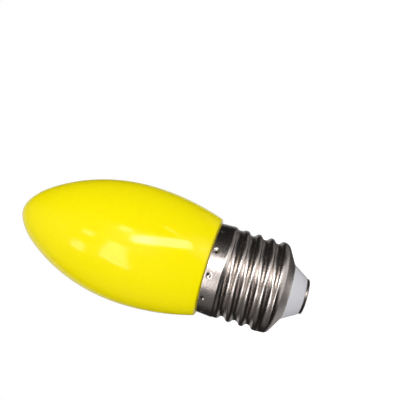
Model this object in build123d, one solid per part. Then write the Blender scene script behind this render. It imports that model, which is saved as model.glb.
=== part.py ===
from build123d import *
from math import asin, atan2, cos, degrees, radians, sin, tan
import os

# Candle-shaped LED bulb with a 27 mm screw cap, standing on its centre contact with the tip up.
# Z is the bulb's axis, the origin is the middle of the contact's bottom face, and sizes are in mm.
# The angles of the thread and of the stakes are counted about Z from the front, which is -Y.

# Envelope: one moulded plastic candle, coloured through and glossy
overall_height = 86.5
widest_diameter = 35.2
tip_to_widest = 36.5
nose_radius = 6.0
nose_half_angle = 37.0
cheek_radius = 22.0
rim_overhang = 1.05
rim_bevel = 0.5

# Screw cap: thin nickel-plated sheet with a collar, a rolled round thread and a shoulder
cap_height = 27.8
sheet_thickness = 0.35
collar_diameter = 26.1
collar_height = 4.4
thread_crest_diameter = 26.0
thread_depth = 1.0
thread_root_land = 0.1
thread_chord_share = 1 / 3
thread_pitch = 3.629
first_crest_below_rim = 8.45
upper_runout = 1.2
lower_runout = 0.9
shoulder_half_angle = 60.0
shoulder_corner_bevel = 1.3
shoulder_land = 0.1
lip_radius = 7.9
lip_height = 5.0

# Stakes: punched marks that lock the collar on the envelope's neck
stake_count = 12
stake_width = 1.2
stake_depth = 0.3
stake_taper = 43.0
stake_sides = 6
stake_below_rim = 1.45
stake_angle = -9.4

# Insulator: a white moulded cone that carries the contact
insulator_end_radius = 5.25
insulator_flange_radius = 9.6

# Centre contact: a pressed disc with a stem like a rivet's
contact_proud = 0.8
contact_radius = 4.95
contact_edge_bevel = 0.35
contact_stem_radius = 1.4
contact_stem_length = 3.2

# Clearances between pieces
neck_clearance = 0.05
lip_clearance = 0.05
stem_clearance = 0.05

front = -90.0
collar_radius = collar_diameter / 2
crest_radius = thread_crest_diameter / 2
root_radius = crest_radius - thread_depth
bore_radius = root_radius - sheet_thickness
core_radius = root_radius + thread_root_land
collar_bore_radius = collar_radius - sheet_thickness
collar_bottom = cap_height - collar_height
shoulder_slope = tan(radians(shoulder_half_angle))
corner_height = lip_height + (collar_radius - lip_radius) / shoulder_slope
land_top = corner_height + shoulder_corner_bevel + shoulder_land
inner_lip_radius = lip_radius - sheet_thickness


def shoulder_inside(radius):
    """The height of the shoulder's inner face at a radius, one sheet above its outer face."""
    outside = lip_height + (radius - lip_radius) / shoulder_slope
    return outside + sheet_thickness / sin(radians(shoulder_half_angle))


flange_top = shoulder_inside(bore_radius)


def turned(*outline):
    """A solid of revolution about Z from a closed outline of curves in (radius, height)."""
    return revolve(Plane.XZ * make_face(outline), Axis.Z)


def stake_marks():
    """One punch for each stake, narrowing inwards from the collar's face to a blunt end."""
    over = stake_depth / 2
    half_width = stake_width / 2 + over * tan(radians(stake_taper))
    mouth = RegularPolygon(half_width, stake_sides, major_radius=False)
    punch = extrude(mouth, over + stake_depth, taper=stake_taper)
    marks = []
    for number in range(stake_count):
        angle = radians(front + stake_angle + 360 * number / stake_count)
        start = collar_radius + over
        seat = Plane(
            origin=(start * cos(angle), start * sin(angle), cap_height - stake_below_rim),
            x_dir=(0, 0, 1), z_dir=(-cos(angle), -sin(angle), 0),
        )
        marks.append(seat * punch)
    return marks


def ridge_outline():
    """The ridge's section in (outwards, along): a crest arc and two root arcs, drawn as chords."""
    arc = (thread_pitch**2 / 4 + thread_depth**2) / (4 * thread_depth)
    flank = asin(thread_pitch / (4 * arc))
    half_root = thread_chord_share * flank
    half = []
    for turn in (thread_chord_share * flank, flank):
        half.append((crest_radius - arc * (1 - cos(turn)), arc * sin(turn)))
    foot = (root_radius + arc * (1 - cos(half_root)), thread_pitch / 2 - arc * sin(half_root))
    half += [foot, (core_radius - sheet_thickness / 2, foot[1])]
    return half + [(outwards, -along) for outwards, along in reversed(half)]


def thread_ridge(start, bottom, top):
    """The rolled thread: one ridge along a right-hand helix from start, cut level at both ends."""
    helix = Helix(thread_pitch, top - bottom + thread_pitch, core_radius)
    section = Plane.XZ * make_face(Polyline(ridge_outline(), close=True))
    ridge = sweep(section, path=helix, is_frenet=True)
    level = Pos(0, 0, bottom) * Cylinder(collar_diameter, top - bottom,
                                         align=(Align.CENTER, Align.CENTER, Align.MIN))
    return Pos(0, 0, start) * ridge & level


def screw_shell():
    """The cap: collar, thread and shoulder outside, a stepped bore and a turned-in lip."""
    corner = Vector(collar_radius, corner_height)
    blank = make_face(
        Polyline(
            (0, lip_height), (lip_radius, lip_height), corner, (collar_radius, land_top),
            (core_radius, land_top + lower_runout), (core_radius, collar_bottom - upper_runout),
            (collar_radius, collar_bottom), (collar_radius, cap_height), (0, cap_height),
            close=True,
        )
    )
    blank = chamfer(blank.vertices().sort_by_distance(corner)[0], shoulder_corner_bevel)
    blank = revolve(Plane.XZ * blank, Axis.Z)
    thread_bottom = land_top - shoulder_land
    thread_start = thread_bottom - thread_pitch / 2
    threads = thread_ridge(thread_start, thread_bottom, collar_bottom + sheet_thickness)
    bore = turned(
        Polyline(
            (0, lip_height), (inner_lip_radius, lip_height),
            (inner_lip_radius, shoulder_inside(inner_lip_radius)), (bore_radius, flange_top),
            (bore_radius, collar_bottom - upper_runout), (collar_bore_radius, collar_bottom),
            (collar_bore_radius, cap_height), (0, cap_height),
            close=True,
        )
    )
    # The ridge starts on +X, and the turn brings its first crest to the front
    crest_height = cap_height - first_crest_below_rim
    turn = front + 360 * (thread_start - crest_height) / thread_pitch
    return Rot(0, 0, turn) * (blank + threads - bore) - stake_marks()


def envelope():
    """The candle with its bevelled rim, and the neck, which fills the cap to the insulator."""
    widest_radius = widest_diameter / 2
    widest_height = overall_height - tip_to_widest
    nose_centre = Vector(0, overall_height - nose_radius)
    reach = cheek_radius - nose_radius
    cheek_centre = nose_centre - Vector(
        reach * sin(radians(nose_half_angle)), reach * cos(radians(nose_half_angle))
    )
    # The side arc is upright at the widest height, and its radius makes it meet the cheek arc
    offset = cheek_centre.X - widest_radius
    rise = cheek_centre.Y - widest_height
    side_radius = (cheek_radius**2 - offset**2 - rise**2) / (2 * (offset + cheek_radius))
    side_centre = Vector(widest_radius - side_radius, widest_height)
    side_angle = degrees(atan2(rise, cheek_centre.X - side_centre.X))
    cheek_angle = 90 - nose_half_angle
    nose = CenterArc(nose_centre, nose_radius, 90, -nose_half_angle)
    cheek = CenterArc(cheek_centre, cheek_radius, cheek_angle, side_angle - cheek_angle)
    side = CenterArc(side_centre, side_radius, side_angle, -side_angle)
    rim = Vector(collar_radius + rim_overhang, cap_height)
    waist = TangentArc((widest_radius, widest_height), rim, tangent=(0, -1))
    candle = turned(nose, cheek, side, waist, Polyline(rim, (0, cap_height), (0, overall_height)))
    # Splines keep the turned faces light to mesh, and the rim is cut after them to be true
    candle = candle.to_splines().fix()
    bevel = turned(
        Polyline(
            rim - Vector(rim_bevel, 0), rim + Vector(rim_bevel, 2 * rim_bevel),
            rim + Vector(rim_bevel, -rim_bevel), rim - Vector(rim_bevel, rim_bevel),
            close=True,
        )
    )
    neck_radius = collar_bore_radius - neck_clearance
    inner_radius = bore_radius - neck_clearance
    neck = turned(
        Polyline(
            (0, cap_height + rim_bevel), (neck_radius, cap_height + rim_bevel),
            (neck_radius, collar_bottom), (inner_radius, collar_bottom - upper_runout),
            (inner_radius, flange_top), (0, flange_top),
            close=True,
        )
    )
    return candle - bevel + neck


def insulator():
    """The white cone below the lip, the flange held above it and the hole for the stem."""
    waist_radius = inner_lip_radius - lip_clearance
    hole_radius = contact_stem_radius + stem_clearance
    return turned(
        Polyline(
            (hole_radius, contact_proud), (insulator_end_radius, contact_proud),
            (lip_radius, lip_height), (waist_radius, lip_height),
            (waist_radius, shoulder_inside(waist_radius) + lip_clearance),
            (insulator_flange_radius, shoulder_inside(insulator_flange_radius) + lip_clearance),
            (insulator_flange_radius, flange_top), (hole_radius, flange_top),
            close=True,
        )
    )


def centre_contact():
    """A disc with a rounded edge, and the stem that is pressed through the insulator."""
    outline = make_face(
        Polyline(
            (0, 0), (contact_radius, 0), (contact_radius, contact_proud),
            (contact_stem_radius, contact_proud),
            (contact_stem_radius, contact_proud + contact_stem_length),
            (0, contact_proud + contact_stem_length),
            close=True,
        )
    )
    edge = outline.vertices().sort_by_distance(Vector(contact_radius, 0))[0]
    return revolve(Plane.XZ * chamfer(edge, contact_edge_bevel), Axis.Z)


pieces = {
    "envelope": envelope(),
    "screw_shell": screw_shell(),
    "insulator": insulator(),
    "centre_contact": centre_contact(),
}
os.makedirs("parts", exist_ok=True)
for name, piece in pieces.items():
    export_step(piece, f"parts/{name}.step")
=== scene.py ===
import math

import bpy
import numpy as np
from mathutils import Matrix, Vector


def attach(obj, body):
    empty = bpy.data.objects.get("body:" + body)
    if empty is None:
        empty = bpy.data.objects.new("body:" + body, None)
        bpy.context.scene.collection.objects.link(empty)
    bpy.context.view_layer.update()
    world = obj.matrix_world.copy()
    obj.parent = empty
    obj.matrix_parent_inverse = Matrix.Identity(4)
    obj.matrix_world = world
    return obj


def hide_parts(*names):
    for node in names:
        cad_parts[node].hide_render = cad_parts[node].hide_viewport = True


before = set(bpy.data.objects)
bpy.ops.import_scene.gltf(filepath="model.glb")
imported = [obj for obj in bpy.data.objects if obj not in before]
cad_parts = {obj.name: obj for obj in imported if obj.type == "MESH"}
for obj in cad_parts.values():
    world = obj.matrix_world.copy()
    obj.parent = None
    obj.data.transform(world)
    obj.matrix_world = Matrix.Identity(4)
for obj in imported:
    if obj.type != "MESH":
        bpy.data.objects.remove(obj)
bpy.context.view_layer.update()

# Envelope. One injection-moulded candle of polycarbonate, coloured through in yellow and left as
# glossy as its mould. Its rounded rim stands out over the cap, and its neck fills the cap. Here
# and below, sizes are in mm and angles in degrees.
MM = 0.001
overall_height = 86.5
widest_diameter = 35.2
tip_to_widest = 36.5
nose_radius = 6.0
nose_half_angle = 37.0
cheek_radius = 22.0
rim_overhang = 1.05
rim_rounding = 0.8
cap_height = 27.8
sheet_thickness = 0.35
collar_radius = 13.05
crest_radius = 13.0
thread_depth = 1.0
neck_clearance = 0.05
neck_step_top = 24.3
neck_step_bottom = 22.6
neck_bottom = 7.57
stake_count = 12
stake_angle = -9.4
stake_below_rim = 1.45
stake_reach = 0.75
stake_depth = 0.3
same_point = 1e-6
side_spacing = 0.6
neck_spacing = 0.2
candle_columns = 240
mottle_size = 1.11
peel_size = 3.85
peel_depth = 0.06
yellow = "#FFF100"
yellow_shade = "#FDE800"


def arc(centre, radius, start, end, spacing):
    """Points (r, z) on an arc about centre from start to end degrees, at most spacing apart."""
    length = math.radians(abs(end - start)) * radius
    angle = np.radians(np.linspace(start, end, max(3, math.ceil(length / spacing) + 1)))
    return np.stack([centre[0] + radius * np.cos(angle), centre[1] + radius * np.sin(angle)], 1)


def line(start, end, spacing):
    """Points (r, z) on a straight line from start to end, at most spacing apart."""
    start, end = np.array(start, float), np.array(end, float)
    share = np.linspace(0, 1, max(2, math.ceil(np.linalg.norm(end - start) / spacing) + 1))
    return start + share[:, None] * (end - start)


def joined(*stretches):
    """One outline from stretches that follow each other, with each shared end point kept once."""
    rows = np.concatenate(stretches)
    step = np.linalg.norm(np.diff(rows, axis=0), axis=1)
    return rows[np.concatenate([[True], step > same_point])]


def round_the_axis(outline, columns, dent=None):
    """Grid of points (rows, columns, 3): the outline's r and z carried once round the z axis.

    At each angle, x is r times its cosine and y is r times its sine. dent gives how far the point
    at (angle, z) is pushed in towards the axis first.
    """
    angle = np.arange(columns) * math.tau / columns
    radius = np.repeat(outline[:, :1], columns, 1)
    height = np.repeat(outline[:, 1:], columns, 1)
    if dent is not None:
        radius = radius - dent(angle[None, :], height)
    return np.stack([radius * np.cos(angle), radius * np.sin(angle), height], 2)


def surface(name, grid, closed_rows):
    """A smooth mesh of quads on a grid in millimetres whose columns join up round the axis.

    The rows join up too where closed_rows is true. Otherwise the first and the last row lie on
    the axis, and each becomes one vertex with a fan of triangles.
    """
    columns = grid.shape[1]
    body = grid if closed_rows else grid[1:-1]
    count = len(body)
    index = np.arange(count * columns).reshape(count, columns)
    beside = np.roll(index, -1, 1)
    if closed_rows:
        above, above_beside = np.roll(index, -1, 0), np.roll(beside, -1, 0)
    else:
        above, above_beside = index[1:], beside[1:]
        index, beside = index[:-1], beside[:-1]
    faces = np.stack([index, beside, above_beside, above], 2).reshape(-1, 4).tolist()
    points = body.reshape(-1, 3)
    if not closed_rows:
        bottom, top = count * columns, count * columns + 1
        ring = np.arange(columns)
        last = (count - 1) * columns + ring
        fan = np.stack([np.roll(ring, -1), ring, np.full(columns, bottom)], 1)
        crown = np.stack([last, np.roll(last, -1), np.full(columns, top)], 1)
        faces += fan.tolist() + crown.tolist()
        points = np.concatenate([points, grid[:1, 0], grid[-1:, 0]])
    mesh = bpy.data.meshes.new(name)
    mesh.from_pydata((points * MM).tolist(), [], faces)
    mesh.polygons.foreach_set("use_smooth", np.ones(len(mesh.polygons), bool))
    mesh.update()
    piece = bpy.data.objects.new(name, mesh)
    bpy.context.scene.collection.objects.link(piece)
    return piece


def stake_dent(angle, height):
    """Depth of the stakes' round pits: depth times (1 - (distance / reach) squared) squared."""
    pitch = math.tau / stake_count
    first = math.radians(-90 + stake_angle)
    along = (angle - first + pitch / 2) % pitch - pitch / 2
    distance = np.hypot(along * collar_radius, height - (cap_height - stake_below_rim))
    return stake_depth * np.clip(1 - (distance / stake_reach) ** 2, 0, 1) ** 2


def candle_outline():
    """From the bottom up: the neck, the rounded rim, and the waist, side, cheek and nose arcs.

    The waist and the side are upright where they meet, at the widest height. The waist's radius
    takes it through the rim's sharp corner, and the side's radius makes it touch the cheek arc.
    """
    widest_radius = widest_diameter / 2
    widest_height = overall_height - tip_to_widest
    nose = (0.0, overall_height - nose_radius)
    reach = cheek_radius - nose_radius
    half = math.radians(nose_half_angle)
    cheek = (nose[0] - reach * math.sin(half), nose[1] - reach * math.cos(half))
    offset, rise = cheek[0] - widest_radius, cheek[1] - widest_height
    side_radius = (cheek_radius**2 - offset**2 - rise**2) / (2 * (offset + cheek_radius))
    side = (widest_radius - side_radius, widest_height)
    side_angle = math.degrees(math.atan2(rise, cheek[0] - side[0]))
    rim_in = widest_radius - collar_radius - rim_overhang
    rim_down = widest_height - cap_height
    waist_radius = (rim_in**2 + rim_down**2) / (2 * rim_in)
    waist = (widest_radius - waist_radius, widest_height)
    rim_height = cap_height + rim_rounding
    inside = waist_radius - rim_rounding
    rim = (waist[0] + math.sqrt(inside**2 - (widest_height - rim_height) ** 2), rim_height)
    rim_angle = math.degrees(math.atan2(rim_height - widest_height, rim[0] - waist[0]))
    neck = collar_radius - sheet_thickness - neck_clearance
    core = crest_radius - thread_depth - sheet_thickness - neck_clearance
    return joined(
        line((0, neck_bottom), (core, neck_bottom), spacing=2.0),
        line((core, neck_bottom), (core, neck_step_bottom), spacing=1.0),
        line((core, neck_step_bottom), (neck, neck_step_top), spacing=0.5),
        line((neck, neck_step_top), (neck, cap_height), neck_spacing),
        line((neck, cap_height), (rim[0], cap_height), neck_spacing),
        arc(rim, rim_rounding, -90, rim_angle, spacing=0.1),
        arc(waist, waist_radius, rim_angle, 0, side_spacing),
        arc(side, side_radius, 0, side_angle, side_spacing),
        arc(cheek, cheek_radius, side_angle, 90 - nose_half_angle, spacing=0.5),
        arc(nose, nose_radius, 90 - nose_half_angle, 90, spacing=0.35),
    )


def linear(colour):
    """A colour written as sRGB hex, as linear RGBA by the curve that sRGB is defined with."""
    part = [int(colour[i : i + 2], 16) / 255 for i in (1, 3, 5)]
    return [p / 12.92 if p <= 0.04045 else ((p + 0.055) / 1.055) ** 2.4 for p in part] + [1.0]


def new_material(name, **settings):
    """A material with its Principled BSDF, whose sockets are set by name."""
    material = bpy.data.materials.new(name)
    material.use_nodes = True
    shader = material.node_tree.nodes["Principled BSDF"]
    for socket, value in settings.items():
        shader.inputs[socket.replace("_", " ")].default_value = value
    return material, shader


def add(tree, kind, settings=None, values=None, links=None):
    """Adds a node, sets its properties and socket values, and links sockets from other nodes."""
    node = tree.nodes.new(kind)
    for name, value in (settings or {}).items():
        setattr(node, name, value)
    for socket, value in (values or {}).items():
        node.inputs[socket].default_value = value
    for socket, source in (links or {}).items():
        tree.links.new(source, node.inputs[socket])
    return node


def cells(size):
    """The scale of a noise whose cells are size mm wide: how many of them lie along a metre."""
    return 1 / (size * MM)


def yellow_polycarbonate():
    """Glossy moulded polycarbonate: an even, saturated yellow with clear, soft-edged highlights.

    The faintest flow mottling, about a millimetre across, lies in its colour, and the mould's
    slight orange peel, about four millimetres across, lies in its gloss.
    """
    material, shader = new_material(
        "yellow_polycarbonate", Roughness=0.12, IOR=1.5, Specular_IOR_Level=0.34
    )
    tree = material.node_tree
    place = add(tree, "ShaderNodeTexCoord").outputs["Object"]
    mottle = add(tree, "ShaderNodeTexNoise", values={"Scale": cells(mottle_size), "Detail": 3.0},
                 links={"Vector": place})
    shade = add(tree, "ShaderNodeMix", {"data_type": "RGBA"},
                {"A": linear(yellow), "B": linear(yellow_shade)}, {"Factor": mottle.outputs["Fac"]})
    tree.links.new(shade.outputs["Result"], shader.inputs["Base Color"])
    peel = add(tree, "ShaderNodeTexNoise", values={"Scale": cells(peel_size), "Detail": 1.0},
               links={"Vector": place})
    bump = add(tree, "ShaderNodeBump", values={"Strength": 0.25, "Distance": peel_depth * MM},
               links={"Height": peel.outputs["Fac"]})
    tree.links.new(bump.outputs["Normal"], shader.inputs["Normal"])
    return material


candle_grid = round_the_axis(candle_outline(), candle_columns, stake_dent)
candle = surface("candle_envelope", candle_grid, closed_rows=False)
candle.data.materials.append(yellow_polycarbonate())
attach(candle, "root")
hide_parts("envelope")

# Screw shell. Brass or steel sheet 0.35 mm thick, drawn to a cup, its round thread rolled in and
# nickel plated. It is pushed over the neck and locked by twelve stakes punched into its collar.
thread_pitch = 3.629
first_crest_below_rim = 8.45
groove_starts = -140.0
groove_full = -30.0
groove_fades = 1080.0
groove_ends = 1190.0
collar_bottom = 23.4
shoulder_half_angle = 60.0
shoulder_rounding = 2.5
lip_radius = 7.9
lip_height = 5.0
edge_gap = 0.08
collar_taper = 0.2
collar_foot = 0.5
collar_foot_inside = 0.8
thread_spacing = 0.12
inside_spacing = 0.3
shell_columns = 320
smudge_size = 4.55
rolling_line = 0.385
rolling_line_squeeze = 0.06
rolling_line_depth = 0.02
nickel = "#DCD1CB"


def smooth_step(share):
    """0 below 0, 1 above 1, and 3 s squared - 2 s cubed between."""
    share = np.clip(share, 0, 1)
    return share * share * (3 - 2 * share)


def groove(angle, height):
    """Depth of the rolled groove: two equal arcs, one for the root and one for the crest.

    The groove is a right-hand helix. below is how far a point lies under the root's place at the
    front, half a pitch above the first crest, and travel is how many degrees the nearest turn of
    the root has come from there. The groove fades in smoothly between two of these travels, below
    the collar, and fades out between two others, at the shoulder.
    """
    radius = (thread_pitch**2 / 4 + thread_depth**2) / (4 * thread_depth)
    turned = np.degrees(-math.pi / 2 - angle) % 360
    below = cap_height - height - first_crest_below_rim + thread_pitch / 2
    turn = np.round(below / thread_pitch - turned / 360)
    travel = turned + 360 * turn
    off = np.abs(below - thread_pitch * travel / 360)
    root = thread_depth - radius + np.sqrt(np.clip(radius**2 - off**2, 0, None))
    crest = radius - np.sqrt(np.clip(radius**2 - (thread_pitch / 2 - off) ** 2, 0, None))
    fade_in = smooth_step((travel - groove_starts) / (groove_full - groove_starts))
    fade_out = smooth_step((groove_ends - travel) / (groove_ends - groove_fades))
    return np.where(off < thread_pitch / 4, root, crest) * fade_in * fade_out


def shell_dent(angle, height):
    """Depth of the groove plus depth of the stakes."""
    return groove(angle, height) + stake_dent(angle, height)


def shell_outline():
    """Round the sheet: up the outside from the lip, over the top edge, down the inside."""
    slope = math.radians(shoulder_half_angle)
    corner = lip_height + (collar_radius - lip_radius) / math.tan(slope)
    bend = (crest_radius - shoulder_rounding, corner + shoulder_rounding * math.tan(slope / 2))
    out = np.array((math.cos(slope), -math.sin(slope)))
    lip = np.array((lip_radius, lip_height))
    lip_inside = lip - sheet_thickness * out
    cone_end = bend + shoulder_rounding * out
    inner_rounding = shoulder_rounding - sheet_thickness
    inner_end = bend + inner_rounding * out
    lip_rounding = sheet_thickness / 2
    inside = crest_radius - sheet_thickness
    mouth = collar_radius - collar_taper / 2
    skirt = collar_radius + collar_taper / 2
    collar_inside = collar_radius - sheet_thickness
    mouth_rounding = mouth - collar_inside
    top = cap_height - edge_gap - mouth_rounding
    foot = collar_bottom - collar_foot
    foot_inside = collar_bottom + collar_foot_inside
    turn = math.degrees(slope)
    return joined(
        line(lip, cone_end, spacing=0.25),
        arc(bend, shoulder_rounding, -turn, 0, spacing=0.1),
        line((crest_radius, bend[1]), (crest_radius, foot), thread_spacing),
        line((crest_radius, foot), (skirt, collar_bottom), thread_spacing),
        line((skirt, collar_bottom), (mouth, top), thread_spacing),
        arc((collar_inside, top), mouth_rounding, 0, 90, spacing=0.06),
        line((collar_inside, top + mouth_rounding), (collar_inside, foot_inside), inside_spacing),
        line((collar_inside, foot_inside), (inside, collar_bottom), inside_spacing),
        line((inside, collar_bottom), (inside, bend[1]), inside_spacing),
        arc(bend, inner_rounding, 0, -turn, spacing=0.2),
        line(inner_end, lip_inside, inside_spacing),
        arc((lip + lip_inside) / 2, lip_rounding, 180 - turn, 360 - turn, spacing=0.08)[:-1],
    )


def nickel_plate():
    """Satin nickel over rolled sheet: a warm grey mirror whose highlights spread round the axis.

    Smudges a few millimetres across make it duller in places. The lines of the rolling run round
    the cap, and are drawn 0.4 mm apart, coarser than the real ones, so that they show.
    """
    material, shader = new_material(
        "nickel_plated_sheet", Metallic=1.0, Base_Color=linear(nickel), Anisotropic=0.5
    )
    tree = material.node_tree
    round_z = add(tree, "ShaderNodeTangent", {"direction_type": "RADIAL", "axis": "Z"})
    tree.links.new(round_z.outputs["Tangent"], shader.inputs["Tangent"])
    place = add(tree, "ShaderNodeTexCoord").outputs["Object"]
    smudge = add(tree, "ShaderNodeTexNoise", values={"Scale": cells(smudge_size), "Detail": 4.0},
                 links={"Vector": place})
    rough = add(tree, "ShaderNodeMapRange", values={"To Min": 0.22, "To Max": 0.32},
                links={"Value": smudge.outputs["Fac"]})
    tree.links.new(rough.outputs["Result"], shader.inputs["Roughness"])
    squeeze = (rolling_line_squeeze, rolling_line_squeeze, 1.0)
    squeezed = add(tree, "ShaderNodeMapping", values={"Scale": squeeze}, links={"Vector": place})
    lines = add(tree, "ShaderNodeTexNoise", values={"Scale": cells(rolling_line), "Detail": 2.0},
                links={"Vector": squeezed.outputs["Vector"]})
    bump = add(tree, "ShaderNodeBump",
               values={"Strength": 0.3, "Distance": rolling_line_depth * MM},
               links={"Height": lines.outputs["Fac"]})
    tree.links.new(bump.outputs["Normal"], shader.inputs["Normal"])
    return material


shell_grid = round_the_axis(shell_outline(), shell_columns, shell_dent)
shell = surface("nickel_screw_shell", shell_grid, closed_rows=True)
shell.data.materials.append(nickel_plate())
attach(shell, "root")
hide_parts("screw_shell")

# Insulator. A cone of white thermoset moulding under the lip, held in the cap by its flange.
insulator_end_radius = 5.25
contact_proud = 0.8
insulator_rounding = 0.3
stem_hole_radius = 1.45
flange_radius = 9.6
lip_clearance = 0.05
neck_gap = 0.01
insulator_columns = 160
grain_size = 0.667
grain_depth = 0.03
insulator_white = "#DEDEE3"


def insulator_outline():
    """Round the cone: out over the small end, up the cone, the flange, down the stem's hole."""
    half_angle = math.radians(shoulder_half_angle)
    shoulder = lip_height + sheet_thickness / math.sin(half_angle) + lip_clearance
    waist = lip_radius - sheet_thickness - lip_clearance
    waist_top = shoulder + (waist - lip_radius) / math.tan(half_angle)
    flange_bottom = shoulder + (flange_radius - lip_radius) / math.tan(half_angle)
    flange_top = neck_bottom - neck_gap
    rise = math.atan2(lip_height - contact_proud, lip_radius - insulator_end_radius)
    back = insulator_rounding * math.tan(rise / 2)
    end = np.array((insulator_end_radius - back, contact_proud + insulator_rounding))
    foot = end + insulator_rounding * np.array((math.sin(rise), -math.cos(rise)))
    return joined(
        line((stem_hole_radius, contact_proud), (end[0], contact_proud), spacing=0.3),
        arc(end, insulator_rounding, -90, math.degrees(rise) - 90, spacing=0.06),
        line(foot, (lip_radius, lip_height), spacing=0.2),
        line((lip_radius, lip_height), (waist, lip_height), spacing=0.1),
        line((waist, lip_height), (waist, waist_top), spacing=0.2),
        line((waist, waist_top), (flange_radius, flange_bottom), spacing=0.5),
        line((flange_radius, flange_bottom), (flange_radius, flange_top), spacing=0.3),
        line((flange_radius, flange_top), (stem_hole_radius, flange_top), spacing=1.0),
        line((stem_hole_radius, flange_top), (stem_hole_radius, contact_proud), spacing=1.0)[:-1],
    )


def white_thermoset():
    """Moulded white plastic, slightly cool, with a soft sheen.

    Its grain is drawn 0.7 mm across, coarser than the real one, so that it breaks up the sheen.
    """
    material, shader = new_material(
        "white_thermoset", Roughness=0.38, IOR=1.5, Base_Color=linear(insulator_white)
    )
    tree = material.node_tree
    place = add(tree, "ShaderNodeTexCoord").outputs["Object"]
    grain = add(tree, "ShaderNodeTexNoise", values={"Scale": cells(grain_size), "Detail": 2.0},
                links={"Vector": place})
    bump = add(tree, "ShaderNodeBump", values={"Strength": 0.3, "Distance": grain_depth * MM},
               links={"Height": grain.outputs["Fac"]})
    tree.links.new(bump.outputs["Normal"], shader.inputs["Normal"])
    return material


cone_grid = round_the_axis(insulator_outline(), insulator_columns)
cone = surface("white_insulator", cone_grid, closed_rows=True)
cone.data.materials.append(white_thermoset())
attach(cone, "root")
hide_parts("insulator")

# Centre contact. A pressed disc of plated brass, riveted through the insulator by its stem.
contact_radius = 4.95
contact_rounding = 0.35
stem_radius = 1.4
stem_top = 4.0
contact_columns = 128
wear_size = 1.67
contact_grey = "#8C857E"


def contact_outline():
    """From the axis out over the disc, round its edge, back to the stem and up over its top."""
    flat = contact_radius - contact_rounding
    return joined(
        line((0, 0), (flat, 0), spacing=0.5),
        arc((flat, contact_rounding), contact_rounding, -90, 0, spacing=0.06),
        line((contact_radius, contact_rounding), (contact_radius, contact_proud), spacing=0.15),
        line((contact_radius, contact_proud), (stem_radius, contact_proud), spacing=0.5),
        line((stem_radius, contact_proud), (stem_radius, stem_top), spacing=0.4),
        line((stem_radius, stem_top), (0, stem_top), spacing=0.4),
    )


def contact_metal():
    """Dull plated metal: a grey, blurred mirror that wear has made duller in spots of 2 mm."""
    material, shader = new_material(
        "pressed_contact_metal", Metallic=1.0, Base_Color=linear(contact_grey)
    )
    tree = material.node_tree
    place = add(tree, "ShaderNodeTexCoord").outputs["Object"]
    wear = add(tree, "ShaderNodeTexNoise", values={"Scale": cells(wear_size), "Detail": 5.0},
               links={"Vector": place})
    rough = add(tree, "ShaderNodeMapRange", values={"To Min": 0.24, "To Max": 0.42},
                links={"Value": wear.outputs["Fac"]})
    tree.links.new(rough.outputs["Result"], shader.inputs["Roughness"])
    return material


disc_grid = round_the_axis(contact_outline(), contact_columns)
disc = surface("centre_contact_disc", disc_grid, closed_rows=False)
disc.data.materials.append(contact_metal())
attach(disc, "root")
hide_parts("centre_contact")

# Studio. A floor of white paper, a white room, and a soft lamp before and behind the bulb. In the
# reflections alone, black velvet with paler places hangs round it, with bright cards before it, so
# that the plastic keeps its colour and the metal gets the photograph's dark and bright bands.
floor_size = 3000.0
floor_drop = 0.02
floor_white = "#F4F4F4"
floor_glow = 0.6
fill_strength = 0.6
white_rays = ("Is Camera Ray", "Is Glossy Ray", "Is Transmission Ray")
card_distance = 2000.0
velvet_distance = 2200.0
velvet_rows = 19
velvet_columns = 72
velvet_black = 0.01
paler_places = (
    (-12, 40, 10, 48, 0.16),
    (-75, 70, 5, 45, 0.14),
    (-35, 12, 10, 35, 0.12),
    (-85, 12, 5, 35, 0.1),
    (36, -38, 8, 32, 1.1),
    (100, -75, 8, 40, 0.7),
    (168, 5, 3, 28, 0.6),
    (-168, 36, 8, 38, 0.5),
    (-165, -28, 5, 28, 0.35),
    (120, -28, 5, 30, 0.16),
    (160, -65, 5, 20, 0.25),
)
middle = (0.0, 0.0, 45.0)


def looking(place, target):
    """A matrix at place (mm) whose -z axis looks at target (mm)."""
    place, target = Vector(place) * MM, Vector(target) * MM
    turn = (target - place).to_track_quat("-Z", "Y")
    return Matrix.Translation(place) @ turn.to_matrix().to_4x4()


def towards(azimuth, elevation, distance):
    """The point (mm) that far from the bulb's middle: azimuth 0 is the front, 90 is +X."""
    a, e = math.radians(azimuth), math.radians(elevation)
    return (
        middle[0] + distance * math.sin(a) * math.cos(e),
        middle[1] - distance * math.cos(a) * math.cos(e),
        middle[2] + distance * math.sin(e),
    )


def seen_by(tree, rays):
    """1 for a ray of any of the kinds, else 0: the greatest of their outputs of Light Path."""
    path = add(tree, "ShaderNodeLightPath")
    result = path.outputs[rays[0]]
    for ray in rays[1:]:
        result = add(tree, "ShaderNodeMath", {"operation": "MAXIMUM"},
                     links={0: result, 1: path.outputs[ray]}).outputs[0]
    return result


def floor_paper():
    """White paper: matt, and white to the camera wherever no shadow lies on it.

    To a camera below the floor its underside is clear, so that the contact can be seen.
    """
    material, shader = new_material(
        "floor_paper", Roughness=0.9, Specular_IOR_Level=0.0, Base_Color=linear(floor_white),
        Emission_Color=(floor_glow, floor_glow, floor_glow, 1.0),
    )
    tree = material.node_tree
    tree.links.new(seen_by(tree, white_rays), shader.inputs["Emission Strength"])
    underside = add(tree, "ShaderNodeNewGeometry").outputs["Backfacing"]
    below = add(tree, "ShaderNodeMath", {"operation": "MULTIPLY"},
                links={0: seen_by(tree, ("Is Camera Ray",)), 1: underside})
    clear = add(tree, "ShaderNodeBsdfTransparent")
    sides = add(tree, "ShaderNodeMixShader", links={
        0: below.outputs["Value"], 1: shader.outputs["BSDF"], 2: clear.outputs["BSDF"],
    })
    tree.links.new(sides.outputs["Shader"], tree.nodes["Material Output"].inputs["Surface"])
    return material


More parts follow.
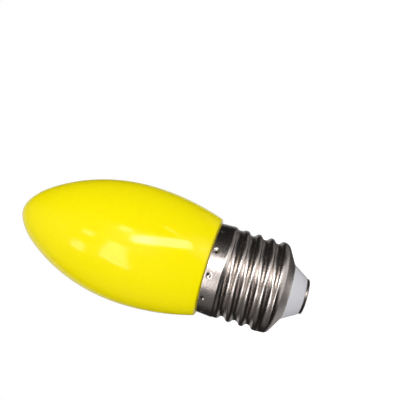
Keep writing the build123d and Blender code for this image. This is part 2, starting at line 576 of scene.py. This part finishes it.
def shining(name):
    """A material that gives off white light alone, and the node that holds its strength."""
    material = bpy.data.materials.new(name)
    material.use_nodes = True
    tree = material.node_tree
    tree.nodes.clear()
    light = add(tree, "ShaderNodeEmission")
    add(tree, "ShaderNodeOutputMaterial", links={"Surface": light.outputs["Emission"]})
    return material, light


def reflected_only(piece):
    """Keeps a piece of the stage out of everything but reflections."""
    piece.visible_camera = piece.visible_diffuse = piece.visible_shadow = False
    piece.visible_transmission = piece.visible_volume_scatter = False


def stage_mesh(name, points, faces, material):
    """A mesh of the stage from points in millimetres."""
    mesh = bpy.data.meshes.new(name)
    mesh.from_pydata((np.array(points, float) * MM).tolist(), [], faces)
    mesh.materials.append(material)
    piece = bpy.data.objects.new(name, mesh)
    bpy.context.scene.collection.objects.link(piece)
    return piece


def card(name, radiance, *corners):
    """A bright card seen in reflections, its corners given as (azimuth, elevation)."""
    material, light = shining(name)
    light.inputs["Strength"].default_value = radiance
    points = [towards(azimuth, elevation, card_distance) for azimuth, elevation in corners]
    reflected_only(stage_mesh(name, points, [tuple(range(len(points)))], material))


def velvet():
    """Black velvet with paler places where soft light from the room falls on it.

    Each place is (azimuth, elevation, inner angle, outer angle, radiance): it has its full
    radiance within the inner angle from its middle and dies away smoothly to the outer one.
    """
    material, light = shining("velvet")
    tree = material.node_tree
    place = add(tree, "ShaderNodeTexCoord").outputs["Object"]
    unit = add(tree, "ShaderNodeVectorMath", {"operation": "NORMALIZE"}, links={0: place})
    total = add(tree, "ShaderNodeMath", values={0: velvet_black, 1: 0.0}).outputs["Value"]
    for azimuth, elevation, inner, outer, radiance in paler_places:
        pointer = Vector(towards(azimuth, elevation, 1.0)) - Vector(middle)
        near = add(tree, "ShaderNodeVectorMath", {"operation": "DOT_PRODUCT"}, {1: pointer},
                   {0: unit.outputs["Vector"]})
        share = add(tree, "ShaderNodeMapRange", {"interpolation_type": "SMOOTHERSTEP"},
                    {"From Min": math.cos(math.radians(outer)),
                     "From Max": math.cos(math.radians(inner)), "To Max": radiance},
                    {"Value": near.outputs["Value"]})
        total = add(tree, "ShaderNodeMath",
                    links={0: share.outputs["Result"], 1: total}).outputs["Value"]
    tree.links.new(total, light.inputs["Strength"])
    return material


corner_signs = ((-1, -1), (1, -1), (1, 1), (-1, 1))
floor_corners = [(x * floor_size / 2, y * floor_size / 2, -floor_drop) for x, y in corner_signs]
floor = stage_mesh("floor", floor_corners, [(0, 1, 2, 3)], floor_paper())
floor.visible_glossy = False

tent_turns = np.radians(np.linspace(-90, 90, velvet_rows))
tent_outline = velvet_distance * np.stack([np.cos(tent_turns), np.sin(tent_turns)], 1)
tent = surface("velvet", round_the_axis(tent_outline, velvet_columns), closed_rows=False)
tent.data.materials.append(velvet())
reflected_only(tent)

card("window", 3.7, (-42, 27), (-9, 23), (-12, 12), (-50, 8))
card("strip", 9.5, (1, 11), (12, 11), (25, -3), (38, -18), (23, -21), (8, -3))
card("strip_core", 14.0, (2, 7), (12, 7), (20, 0), (10, -2))
card("pane_over_window", 3.4, (-13, 35), (-3, 35), (-3, 43), (-13, 43))
card("pane_left", 3.5, (-51, 38), (-33, 38), (-33, 47), (-51, 47))
card("pane_right", 4.5, (15, 12), (23, 12), (23, 20), (15, 20))
card("streak", 3.2, (45, -2), (49, -2), (40, -14), (36, -14))
card("pane_low", 5.0, (30, -24), (36, -24), (36, -32), (30, -32))

# The room is white to the camera, and lights matt surfaces with fill_strength of that
world = bpy.data.worlds.new("room")
bpy.context.scene.world = world
world.use_nodes = True
room = world.node_tree
room.nodes.clear()
level = add(room, "ShaderNodeMapRange", values={"To Min": fill_strength, "To Max": 1.0},
            links={"Value": seen_by(room, white_rays)})
background = add(room, "ShaderNodeBackground", values={"Color": (1.0, 1.0, 1.0, 1.0)},
                 links={"Strength": level.outputs["Result"]})
add(room, "ShaderNodeOutputWorld", links={"Surface": background.outputs["Background"]})


def softbox(name, azimuth, elevation, distance, size, radiance):
    """A square lamp that faces the bulb and stays out of reflections.

    Its power is pi times its area times its radiance.
    """
    data = bpy.data.lights.new(name, "AREA")
    data.size = size * MM
    data.energy = radiance * math.pi * data.size**2
    lamp = bpy.data.objects.new(name, data)
    bpy.context.scene.collection.objects.link(lamp)
    lamp.matrix_world = looking(towards(azimuth, elevation, distance), middle)
    lamp.visible_camera = lamp.visible_glossy = False


softbox("front_lamp", azimuth=3, elevation=10, distance=600, size=400, radiance=3.4)
softbox("back_lamp", azimuth=180, elevation=20, distance=600, size=500, radiance=2.4)

# Camera. It stands as the photograph's did: close to the bulb, a little above the level of the
# cap, and rolled so that the bulb's tip points to the left of the picture.
picture_size = 400
focal_pixels = 431.1
sensor_width = 36.0
camera_distance = 124.8
camera_height = 18.95
camera_yaw = 8.10
camera_pitch = 7.79
camera_roll = 73.6
near_clip = 10.0

camera_data = bpy.data.cameras.new("camera")
camera_data.sensor_width = sensor_width
camera_data.lens = focal_pixels / picture_size * sensor_width
camera_data.clip_start = near_clip * MM
camera = bpy.data.objects.new("camera", camera_data)
bpy.context.scene.collection.objects.link(camera)
camera.matrix_world = (
    Matrix.Translation((0, -camera_distance * MM, camera_height * MM))
    @ Matrix.Rotation(math.radians(-camera_yaw), 4, "Z")
    @ Matrix.Rotation(math.radians(90 + camera_pitch), 4, "X")
    @ Matrix.Rotation(math.radians(-camera_roll), 4, "Z")
)
bpy.context.scene.camera = camera
bpy.context.scene.view_settings.view_transform = "Standard"
